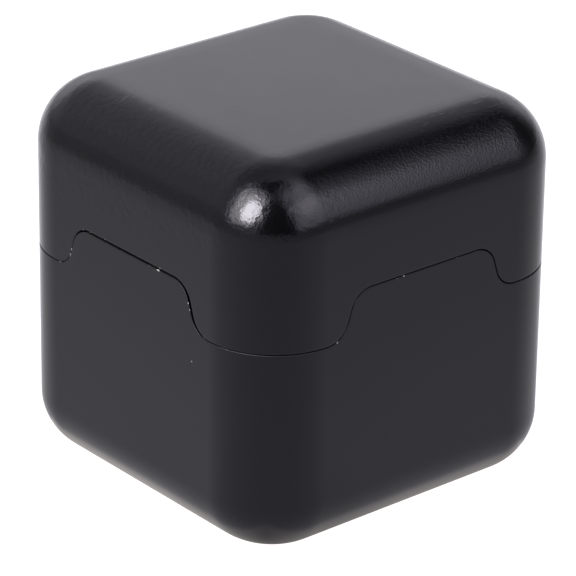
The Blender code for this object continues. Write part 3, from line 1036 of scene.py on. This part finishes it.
def nickel():
    """Bright nickel plating on a pressed magnet: a soft ripple, dull spots, fine scratches."""
    made, graph, shader = new_material("nickel", metallic=1.0)
    where = graph.place()
    ripple = graph.noise(where, RIPPLE_SCALE, 3.0)
    spots = graph.span(graph.noise(where, DULL_SPOT_SCALE, 4.0, 0.7), 0.5, 0.68)
    scratches = graph.noise(graph.vector("MULTIPLY", where, NICKEL_SCRATCH_SCALES), 1.0, 2.0, 0.7)
    height = graph.add(ripple, graph.times(graph.span(scratches, 0.62, 0.75), 0.25))
    plated = grey(0.7, (1.0, 0.965, 0.9))
    graph.put(shader.inputs["Base Color"], graph.blend(spots, plated, grey(0.48, (1.0, 0.95, 0.87))))
    graph.put(shader.inputs["Roughness"], graph.span(spots, 0.0, 1.0, 0.1, 0.3))
    graph.put(shader.inputs["Normal"], graph.bump(height, NICKEL_RELIEF))
    return made


# Assembly


def show(piece, body, slot, *materials, node):
    """Puts a finished piece in the place of its CAD node."""
    shade(piece)
    piece.data.materials.clear()
    for material in materials:
        piece.data.materials.append(material)
    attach(piece, body)
    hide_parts(node)


def assemble():
    outside = anodised_outside()
    inside = anodised_inside()
    steel = ground_steel("ground_steel")
    honed = ground_steel("honed_steel", BORE_RADIUS + EDGE_BREAK / 4)
    screws = screw_steel()
    plating = nickel()
    ptfe = filled_ptfe()
    show(lower_shell(), LOWER_BODY, "black_anodised", outside, inside, node="lower_half")
    show(upper_shell(), UPPER_BODY, "black_anodised", outside, inside, node="upper_half")
    show(cylinder_liner(), LOWER_BODY, "ground_steel", honed, node="cylinder_liner")
    show(landing_ring(), LOWER_BODY, "silicone", silicone(), node="landing_ring")
    show(piston(), UPPER_BODY, "ground_steel", steel, node="piston")
    for node in ("guide_band_lower", "guide_band_upper"):
        show(guide_band(node), GUIDE_BODY, "ptfe", ptfe, node=node)
    for prefix, body, way in (("liner", LOWER_BODY, 1), ("piston", UPPER_BODY, -1)):
        for number in range(1, 5):
            node = f"{prefix}_screw_{number}"
            show(screw(node, way), body, "screw_steel", screws, node=node)
    for prefix, body in (("lower", LOWER_BODY), ("upper", UPPER_BODY)):
        for number in range(1, 5):
            node = f"{prefix}_magnet_{number}"
            show(magnet(node), body, "nickel", plating, node=node)


assemble()


# Studio

VIEW_AZIMUTH = math.radians(-40.24)
VIEW_ELEVATION = math.radians(24.29)
VIEW_ROLL = math.radians(0.85)
VIEW_DISTANCE = 9.35 * SIDE
LENS_MM = 234.2
SENSOR_MM = 36.0
VIEW_REACH = 20.0
AIM_BELOW_CENTRE = 0.043 * SIDE
AIM_LEFT_OF_CENTRE = 0.0025 * SIDE

FLOOR_SIZE = 6.0
FLOOR_GAP = 0.02 * MM
FLOOR_COLOUR = (0.15, 0.15, 0.15, 1.0)
FLOOR_GLOW = 0.53  # beside the cube
FLOOR_GLOW_DIMMED = 0.36  # some way off
NEAR_FLOOR = (0.03, 0.1)  # distances from the middle over which it dims
FLOOR_GLOW_FAR = 0.22  # share of the glow that is left far off
FAR_FLOOR = (0.17, 0.3)
FLOOR_GLOW_FRONT = 0.7  # share of the glow that is left right in front
FRONT_FLOOR = (-1.0, -0.7)  # cosines of the angle from the photo camera's line of sight
FLOOR_GLOW_AHEAD = 0.85  # behind the cube
AHEAD_FLOOR = (0.45, 0.85)
CONTACT = (-0.9 * MM, 0.3 * MM)  # distances beyond the sides over which the foot's extra glow ends
CONTACT_GLOW = 1.65
CONTACT_TINT = (1.04, 0.985, 0.97, 1.0)
UNDER = (-3.8 * MM, -1.1 * MM)  # and over which the darkness under the rounded base ends
UNDER_GLOW = 0.3
SEEN_WHITE = 1.05  # what the camera itself sees of the floor and the backdrop
ROOM_TINT = (0.985, 0.975, 1.05, 1.0)
LIGHT_DISTANCE = 1.2
KEY_TINT = (1.0, 0.985, 0.93)


def towards(azimuth, elevation):
    """A direction in degrees: azimuth to the right of straight ahead from the camera, elevation up."""
    turn = VIEW_AZIMUTH - math.radians(azimuth)
    rise = math.radians(elevation)
    return Vector((-math.sin(turn) * math.cos(rise), math.cos(turn) * math.cos(rise), math.sin(rise)))


def floor_glow(graph):
    """How brightly each place of the floor shines up at the cube, and how warm its light is."""
    place = graph.place()
    x, y = graph.split(place)[:2]
    radius = graph.math("SQRT", graph.add(graph.times(x, x), graph.times(y, y)))
    ahead = graph.math("DIVIDE", graph.dot(place, towards(0.0, 0.0)), radius)
    reach = graph.larger(graph.math("ABSOLUTE", x), graph.math("ABSOLUTE", y))
    beyond = graph.add(reach, -HALF)
    glow = graph.span(radius, *NEAR_FLOOR, FLOOR_GLOW, FLOOR_GLOW_DIMMED)
    for value, zone, inner, outer in (
        (radius, FAR_FLOOR, 1.0, FLOOR_GLOW_FAR),
        (ahead, FRONT_FLOOR, FLOOR_GLOW_FRONT, 1.0),
        (beyond, CONTACT, CONTACT_GLOW, 1.0),
        (beyond, UNDER, UNDER_GLOW, 1.0),
    ):
        glow = graph.times(glow, graph.span(value, *zone, inner, outer))
    glow = graph.mix(graph.span(ahead, *AHEAD_FLOOR), glow, FLOOR_GLOW_AHEAD)
    return glow, graph.span(beyond, *CONTACT, 1.0, 0.0)


def make_floor():
    bm = bmesh.new()
    bmesh.ops.create_grid(bm, x_segments=1, y_segments=1, size=FLOOR_SIZE / 2)
    mesh = bpy.data.meshes.new("studio_floor")
    bm.to_mesh(mesh)
    bm.free()
    plane = link_object("studio_floor", mesh)
    plane.location.z = LOW_CORNER.z - FLOOR_GAP
    made, graph, shader = new_material("studio_floor")
    shader.inputs["Base Color"].default_value = FLOOR_COLOUR
    shader.inputs["Roughness"].default_value = 1.0
    shader.inputs["Specular IOR Level"].default_value = 0.0
    glow, warm = floor_glow(graph)
    graph.put(shader.inputs["Emission Color"], graph.blend(warm, ROOM_TINT, CONTACT_TINT))
    seen = graph.nodes.new("ShaderNodeLightPath").outputs["Is Camera Ray"]
    graph.put(shader.inputs["Emission Strength"], graph.mix(seen, glow, SEEN_WHITE))
    mesh.materials.append(made)


def make_camera():
    """The camera looks at a point a little beside and below the cube's centre."""
    back = -towards(0.0, 0.0) * math.cos(VIEW_ELEVATION) + Vector((0.0, 0.0, math.sin(VIEW_ELEVATION)))
    right = towards(90.0, 0.0)
    up = back.cross(right)
    data = bpy.data.cameras.new("camera")
    data.lens = LENS_MM
    data.sensor_width = SENSOR_MM
    data.clip_end = VIEW_REACH
    obj = link_object("camera", data)
    obj.location = CENTRE + back * VIEW_DISTANCE
    aim = CENTRE - up * AIM_BELOW_CENTRE - right * AIM_LEFT_OF_CENTRE
    turn = (obj.location - aim).to_track_quat("Z", "Y").to_matrix()
    obj.rotation_euler = (turn @ Matrix.Rotation(VIEW_ROLL, 3, "Z")).to_euler()
    bpy.context.scene.camera = obj


def softbox(name, azimuth, elevation, width, height, radiance):
    """An oval area light that subtends width by height degrees at the cube."""
    data = bpy.data.lights.new(name, "AREA")
    data.shape = "ELLIPSE"
    data.size = 2 * LIGHT_DISTANCE * math.tan(math.radians(width / 2))
    data.size_y = 2 * LIGHT_DISTANCE * math.tan(math.radians(height / 2))
    data.energy = math.pi * radiance * data.size * data.size_y
    obj = link_object(name, data)
    obj.location = CENTRE + towards(azimuth, elevation) * LIGHT_DISTANCE
    obj.rotation_euler = towards(azimuth, elevation).to_track_quat("Z", "Y").to_euler()
    obj.visible_camera = False
    data.color = KEY_TINT


def panel_mask(graph, direction, azimuth, elevation, half_width, half_height, softness):
    """1 inside a rectangle of the surroundings, 0 outside, with a soft edge. All angles in degrees."""
    ahead = towards(azimuth, elevation)
    across = towards(azimuth + 90.0, 0.0)
    above = across.cross(ahead)
    depth = graph.dot(direction, ahead)
    blur = math.tan(math.radians(softness))
    mask = None
    for axis, half in ((across, half_width), (above, half_height)):
        reach = graph.times(depth, math.tan(math.radians(half)))
        spare = graph.math("SUBTRACT", reach, graph.math("ABSOLUTE", graph.dot(direction, axis)))
        edge = graph.math("MULTIPLY_ADD", spare, 0.5 / blur, 0.5, clamp=True)
        mask = edge if mask is None else graph.times(mask, edge)
    return mask


# Panels of the room: azimuth, elevation, half width, half height, softness, radiance added or taken away
ROOM_PANELS = (
    (-3.5, 7.0, 40.0, 20.0, 6.0, 0.80),
    (-3.5, -2.0, 43.0, 16.0, 10.0, -0.75),
    (-40.0, 34.0, 28.0, 18.0, 4.0, 0.12),
    (64.0, 29.0, 20.0, 33.0, 9.0, -0.57),
    (174.0, 30.0, 29.0, 62.0, 7.0, -0.64),
    (119.0, 50.0, 21.0, 24.0, 11.0, 1.95),
    (124.5, 28.0, 25.5, 20.0, 4.5, 1.3),
    (-129.0, 38.0, 17.0, 26.0, 9.0, 6.6),
    (-141.0, 35.0, 11.0, 17.0, 8.0, 6.3),
    (-30.0, 64.0, 32.0, 5.0, 19.0, -0.46),
    (-92.0, 2.0, 42.0, 9.0, 4.0, -0.2),
    (110.0, 0.6, 32.0, 4.8, 3.0, -0.31),
)
ROOM_BRIGHTNESS = 0.635
LAMP_TINT = (1.03, 1.0, 0.96, 1.0)  # the lamps are a little warmer than the walls
LAMP_RADIANCES = (1.6, 5.0)


def make_world():
    made = bpy.data.worlds.new("studio")
    bpy.context.scene.world = made
    made.use_nodes = True
    tree = made.node_tree
    graph = Graph(tree)
    direction = tree.nodes.new("ShaderNodeTexCoord").outputs["Generated"]
    level = ROOM_BRIGHTNESS
    for azimuth, elevation, half_width, half_height, softness, added in ROOM_PANELS:
        mask = panel_mask(graph, direction, azimuth, elevation, half_width, half_height, softness)
        level = graph.add(graph.times(mask, added), level)
    level = graph.larger(level, 0.0)
    seen = tree.nodes.new("ShaderNodeLightPath").outputs["Is Camera Ray"]
    background = tree.nodes["Background"]
    tint = graph.blend(graph.span(level, *LAMP_RADIANCES), ROOM_TINT, LAMP_TINT)
    graph.put(background.inputs["Color"], tint)
    graph.put(background.inputs["Strength"], graph.mix(seen, level, SEEN_WHITE))


make_floor()
make_camera()
make_world()
softbox("key_light", azimuth=-140.5, elevation=33.5, width=25.0, height=35.0, radiance=13.0)
bpy.context.scene.view_settings.view_transform = "Standard"
